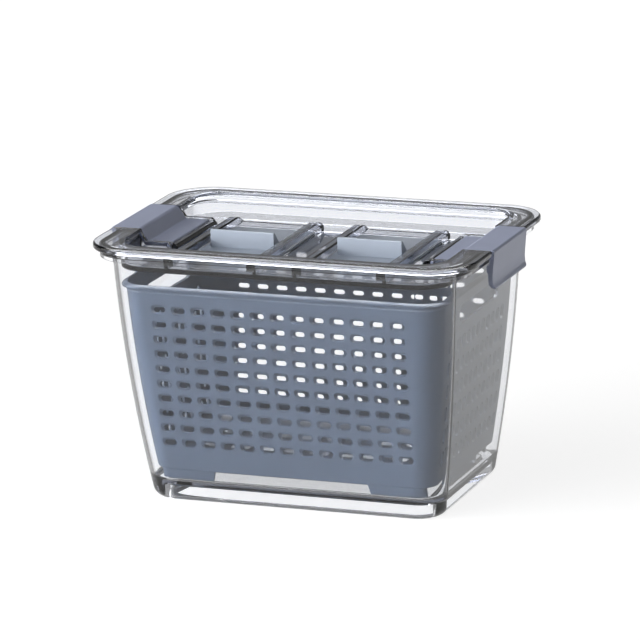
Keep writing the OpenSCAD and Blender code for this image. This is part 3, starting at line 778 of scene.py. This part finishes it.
class KEEPER_OT_clips(bpy.types.Operator):
    """Model the two hinged end clips with their pins and catches"""
    bl_idname = "keeper.clips"
    bl_label = "End clips"
    bl_options = {"REGISTER", "UNDO"}

    def execute(self, context):
        material = satin_plastic("clip_satin", context.scene.keeper_colours.clip, 0.32)
        right = self.clip()
        left = copy_of(right, Matrix.Scale(-1, 4, (1, 0, 0)))
        for piece, side in ((right, "right"), (left, "left")):
            piece.name = piece.data.name = "clip_leaf_" + side
            dress(piece, side + "_clip", "clip_plastic", material, "clip_" + side)
        return {"FINISHED"}

    def clip(self):
        """The right clip: a stepped leaf, a leg with its catch, and the pins that it turns on."""
        out, bottom, half = 122.0, 136.8, CLIP_HALF
        low, top, t, r = 153.3, 161.0, 2.4, 1.6
        leg, dip, waist = 2.8, 1.4, bottom + 6.6
        catch_top, catch_low = 151.9, 148.3
        rim_x, rim_z, gap = 116.8, 156.2, 0.1
        reach = ((rim_x - HINGE_X) ** 2 + (rim_z - HINGE_Z) ** 2) ** 0.5 + gap

        def catch(z):
            """How far out the catch's face stands at a height, to swing past the edge of the box's rim."""
            return HINGE_X + (reach ** 2 - (HINGE_Z - z) ** 2) ** 0.5

        def arc(x, z, r, start, stop, steps=5):
            """Points along an arc, from one angle in degrees to another."""
            turns = [radians(start + (stop - start) * k / steps) for k in range(steps + 1)]
            return [(x + r * cos(a), z + r * sin(a)) for a in turns]

        points = [(HINGE_X, low)] + arc(96.6, low + 2.6, 2.6, 270, 300) + arc(104.9, top - 3.2, 3.2, 150, 90)
        points += arc(out - r, top - r, r, 90, 0)
        points += [(out - 0.9 * dip, waist + 3), (out - dip, waist), (out - 0.8 * dip, waist - 3)]
        points += arc(out - leg / 2, bottom + leg / 2, leg / 2, 0, -180)
        points += [(out - leg - 0.8 * dip, waist - 3), (out - leg - dip, catch_low - 1.6),
                   (catch(catch_low), catch_low), (catch(catch_top), catch_top),
                   (out - leg - 0.4 * dip, catch_top + 0.3)]
        points += arc(out - leg - r, top - t - r, r, 0, 90)
        points += arc(104.9, top - t - 1.4, 1.4, 90, 150, 3)
        points += [(100.0, low - t + 0.35), (99.3, low - t), (HINGE_X, low - t)]
        points += arc(HINGE_X, HINGE_Z, PIN_R, 270, 90, 8)[1:-1]
        piece = prism("clip_leaf", [(x * MM, z * MM) for x, z in points], -half * MM, half * MM)
        for y in (-1, 1):
            combine(piece, self.corner(y, half, out, bottom), "DIFFERENCE")
        soften(piece, 0.35 * MM, angle=38)
        pins = rod(PIN_R, 64.6, 1)
        return combine(piece, soften(pins, 0.25 * MM), "UNION")

    def corner(self, y, half, out, bottom):
        """What rounds off a lower corner of the leg."""
        r, over = 5.0, 1
        turns = [k * pi / 16 for k in range(9)]
        arc = [(y * (half - r + r * sin(a)), bottom + r - r * cos(a)) for a in turns]
        points = arc + [(y * (half + over), bottom + r), (y * (half + over), bottom - over),
                        (y * (half - r), bottom - over)]
        cutter = prism("corner", [(a * MM, z * MM) for a, z in points], (out - 8) * MM, (out + 2) * MM)
        cutter.data.transform(Matrix(((0, 1, 0, 0), (1, 0, 0, 0), (0, 0, 1, 0), (0, 0, 0, 1))))
        cutter.data.flip_normals()
        return cutter


class KEEPER_OT_vents(bpy.types.Operator):
    """Model the two sliding vent plates with their finger tabs"""
    bl_idname = "keeper.vents"
    bl_label = "Vent sliders"
    bl_options = {"REGISTER", "UNDO"}

    def execute(self, context):
        material = satin_plastic("slider_satin", context.scene.keeper_colours.slider, 0.3)
        for side, name in ((-1, "left"), (1, "right")):
            piece = self.slider(side)
            piece.name = piece.data.name = "vent_plate_" + name
            dress(piece, name + "_slider", "slider_plastic", material, "vent_slider_" + name)
        return {"FINISHED"}

    def slider(self, side):
        """A vent plate, with its upright finger tab and the two webs behind the tab."""
        low, high, r = 148.65 * MM, 150.25 * MM, 3 * MM
        w, d, e = 26.6 * MM, 35 * MM, 0.35 * MM
        rings = [(w - e, d - e, r - e, low), (w, d, r, low + e), (w, d, r, high - e),
                 (w - e, d - e, r - e, high)]
        piece = skin("plate", rings)
        piece.data.transform(Matrix.Translation((0, -5 * MM, 0)))
        tab = block((0, -20 * MM, 155.1 * MM), (41 * MM, 2.2 * MM, 11.4 * MM))
        parts = [soften(tab, 0.5 * MM, 3)]
        web = [(-20, 149.5), (-12, 149.5), (-12, 152.4), (-17.8, 159.3), (-20, 159.3)]
        web_x, web_half = 19.4 * MM, 1.1 * MM
        for x in (-1, 1):
            part = prism("web", [(y * MM, z * MM) for y, z in web], -web_half, web_half)
            part.data.transform(Matrix.Translation((x * web_x, 0, 0)) @ Matrix.Rotation(pi / 2, 4, "Z"))
            parts.append(soften(part, 0.4 * MM, 2))
        for part in parts:
            combine(piece, part, "UNION")
        piece.data.transform(Matrix.Translation((side * SLIDER_X * MM, 0, 0)))
        return piece


# The stage

class KEEPER_OT_stage(bpy.types.Operator):
    """Set up the floor, the soft lights, the world and the camera"""
    bl_idname = "keeper.stage"
    bl_label = "Studio stage"
    bl_options = {"REGISTER", "UNDO"}

    def execute(self, context):
        self.floor(context)
        self.lamps()
        self.world(context)
        self.camera(context)
        context.scene.view_settings.view_transform = "Standard"
        return {"FINISHED"}

    def step(self, tree, value, low, high, bottom=0.0, top=1.0):
        """A smooth step of a value."""
        node = tree.nodes.new("ShaderNodeMapRange")
        node.interpolation_type = "SMOOTHSTEP"
        for name, number in (("From Min", low), ("From Max", high), ("To Min", bottom), ("To Max", top)):
            node.inputs[name].default_value = number
        tree.links.new(value, node.inputs["Value"])
        return node.outputs["Result"]

    def math(self, tree, operation, first, second):
        """The result of an operation on two values, each a number or a socket."""
        node = tree.nodes.new("ShaderNodeMath")
        node.operation = operation
        for socket, value in zip(node.inputs, (first, second)):
            if isinstance(value, float):
                socket.default_value = value
            else:
                tree.links.new(value, socket)
        return node.outputs[0]

    def seen_directly(self, tree, bent=1.0, clear=1.0, sheen=1.0):
        """A factor of one for what the camera sees, of clear for what it sees straight through clear plastic,
        of sheen for what it sees on a surface in front, of bent for reflections in and behind clear plastic,
        and of nothing for the light that falls on a matt surface."""
        path = tree.nodes.new("ShaderNodeLightPath").outputs
        straight = self.math(tree, "LESS_THAN", path["Glossy Depth"], 0.5)
        through = self.math(tree, "MULTIPLY", path["Is Transmission Ray"], clear)
        through = self.math(tree, "MULTIPLY", through, straight)
        outside = self.math(tree, "LESS_THAN", path["Transmission Depth"], 0.5)
        front = self.math(tree, "MULTIPLY", path["Is Glossy Ray"], sheen)
        front = self.math(tree, "MULTIPLY", front, outside)
        rest = self.math(tree, "MAXIMUM", path["Is Transmission Ray"], path["Is Glossy Ray"])
        rest = self.math(tree, "MULTIPLY", rest, bent)
        total = self.math(tree, "MAXIMUM", through, rest)
        total = self.math(tree, "MAXIMUM", total, front)
        total = self.math(tree, "MAXIMUM", total, path["Is Camera Ray"])
        first = self.math(tree, "LESS_THAN", path["Diffuse Depth"], 0.5)
        return self.math(tree, "MULTIPLY", total, first)

    def floor(self, context):
        """A matt floor, with a glow of its own that only the camera sees, directly or by way of plastic."""
        fresh()
        bpy.ops.mesh.primitive_plane_add(size=14)
        floor = context.object
        floor.name = floor.data.name = "floor"
        material = bpy.data.materials.new("pale_floor")
        material.use_nodes = True
        tree = material.node_tree
        shader = tree.nodes["Principled BSDF"]
        shader.inputs["Base Color"].default_value = (*context.scene.keeper_colours.backdrop, 1)
        shader.inputs["Roughness"].default_value = 0.9
        shader.inputs["Specular IOR Level"].default_value = 0
        glow = tree.nodes.new("ShaderNodeEmission")
        add = tree.nodes.new("ShaderNodeAddShader")
        seen = self.seen_directly(tree, FLOOR_BENT, FLOOR_CLEAR, FLOOR_SHEEN)
        strength = self.math(tree, "MULTIPLY", seen, FLOOR_GLOW)
        tree.links.new(strength, glow.inputs["Strength"])
        tree.links.new(shader.outputs["BSDF"], add.inputs[0])
        tree.links.new(glow.outputs["Emission"], add.inputs[1])
        tree.links.new(add.outputs["Shader"], tree.nodes["Material Output"].inputs["Surface"])
        floor.data.materials.append(material)

    def lamps(self):
        """Two weak area lamps, at the front left and the back right."""
        for name, place, size, power in LAMPS:
            fresh()
            bpy.ops.object.light_add(type="AREA", location=place)
            lamp = bpy.context.object
            lamp.name = name
            lamp.data.size = size
            lamp.data.energy = power
            lamp.rotation_euler = (Vector(LAMP_AIM) - Vector(place)).to_track_quat("-Z", "Y").to_euler()

    def toward(self, tree, place, direction):
        """How nearly a ray goes in a direction, as the cosine between the two."""
        dot = tree.nodes.new("ShaderNodeVectorMath")
        dot.operation = "DOT_PRODUCT"
        dot.inputs[1].default_value = Vector(direction).normalized()
        tree.links.new(place.outputs["Generated"], dot.inputs[0])
        return dot.outputs["Value"]

    def world(self, context):
        """White where the camera looks at it. Gloss and refraction see a studio with a grey horizon, dark
        flags above it, and soft boxes overhead and at the left. The light comes mainly from the front left.
        Each step is given the two cosines between which it rises."""
        world = bpy.data.worlds.new("white_studio")
        world.use_nodes = True
        context.scene.world = world
        tree = world.node_tree
        path = tree.nodes.new("ShaderNodeLightPath")
        place = tree.nodes.new("ShaderNodeTexCoord")
        height = self.toward(tree, place, (0, 0, 1))
        horizon = self.step(tree, height, 0.30, 0.45, HORIZON, FLAG)
        overhead = self.step(tree, height, 0.62, 0.75, 0.0, OVERHEAD)
        side = self.step(tree, self.toward(tree, place, SIDE_BOX_WAY), 0.86, 0.92, 0.0, SIDE_BOX)
        look = self.math(tree, "ADD", horizon, self.math(tree, "ADD", overhead, side))
        key = self.step(tree, self.toward(tree, place, KEY), 0.65, 1.0, 0.0, KEY_LIGHT)
        fill = self.step(tree, self.toward(tree, place, FILL), 0.5, 1.0, 0.0, FILL_LIGHT)
        low = self.step(tree, height, 0.25, 0.6, 1.0, 0.0)
        light = self.math(tree, "MULTIPLY", self.math(tree, "ADD", key, fill), low)
        light = self.math(tree, "ADD", light, AMBIENT)
        seen = self.seen_directly(tree)
        unseen = self.math(tree, "SUBTRACT", 1.0, seen)
        mixed = self.math(tree, "ADD", self.math(tree, "MULTIPLY", look, seen),
                          self.math(tree, "MULTIPLY", light, unseen))
        strength = self.math(tree, "MAXIMUM", mixed, path.outputs["Is Camera Ray"])
        tree.nodes["Background"].inputs["Color"].default_value = (1, 1, 1, 1)
        tree.links.new(strength, tree.nodes["Background"].inputs["Strength"])

    def camera(self, context):
        """The camera, turned to its azimuth, elevation and roll about the keeper's middle."""
        v = context.scene.keeper_view
        flat = cos(v.elevation)
        outward = Vector((sin(v.azimuth) * flat, -cos(v.azimuth) * flat, sin(v.elevation)))
        across = Vector((cos(v.azimuth), sin(v.azimuth), 0))
        upward = outward.cross(across)
        right = across * cos(v.roll) + upward * sin(v.roll)
        up = upward * cos(v.roll) - across * sin(v.roll)
        place = Matrix.Identity(4)
        for k, axis in enumerate((right, up, outward, Vector(CAMERA_AIM) + outward * v.distance)):
            place.col[k][:3] = axis
        fresh()
        bpy.ops.object.camera_add()
        camera = context.object
        camera.name = "camera"
        camera.matrix_world = place
        camera.data.lens = v.lens
        camera.data.shift_x = v.shift_x
        camera.data.shift_y = v.shift_y
        camera.data.clip_end = 40
        context.scene.camera = camera


class KEEPER_PT_panel(bpy.types.Panel):
    """Lists the pieces of the keeper and its sizes and colours"""
    bl_idname = "KEEPER_PT_panel"
    bl_label = "Produce Keeper"
    bl_space_type = "VIEW_3D"
    bl_region_type = "UI"
    bl_category = "Keeper"

    def draw(self, context):
        for operator in OPERATORS:
            self.layout.operator(operator.bl_idname)
        for group in ("keeper_sizes", "keeper_colours", "keeper_view"):
            values = getattr(context.scene, group)
            box = self.layout.box()
            for name in values.bl_rna.properties.keys():
                if name not in ("rna_type", "name"):
                    box.prop(values, name)


OPERATORS = (KEEPER_OT_box, KEEPER_OT_basket, KEEPER_OT_lid,
             KEEPER_OT_clips, KEEPER_OT_vents, KEEPER_OT_stage)
CLASSES = (KeeperSizes, KeeperColours, KeeperView, *OPERATORS, KEEPER_PT_panel)


def register():
    for cls in CLASSES:
        bpy.utils.register_class(cls)
    bpy.types.Scene.keeper_sizes = PointerProperty(type=KeeperSizes)
    bpy.types.Scene.keeper_colours = PointerProperty(type=KeeperColours)
    bpy.types.Scene.keeper_view = PointerProperty(type=KeeperView)


def unregister():
    del bpy.types.Scene.keeper_view, bpy.types.Scene.keeper_colours, bpy.types.Scene.keeper_sizes
    for cls in reversed(CLASSES):
        bpy.utils.unregister_class(cls)


def main():
    register()
    bpy.ops.keeper.box()
    bpy.ops.keeper.basket()
    bpy.ops.keeper.lid()
    bpy.ops.keeper.clips()
    bpy.ops.keeper.vents()
    bpy.ops.keeper.stage()


if __name__ == "__main__":
    main()
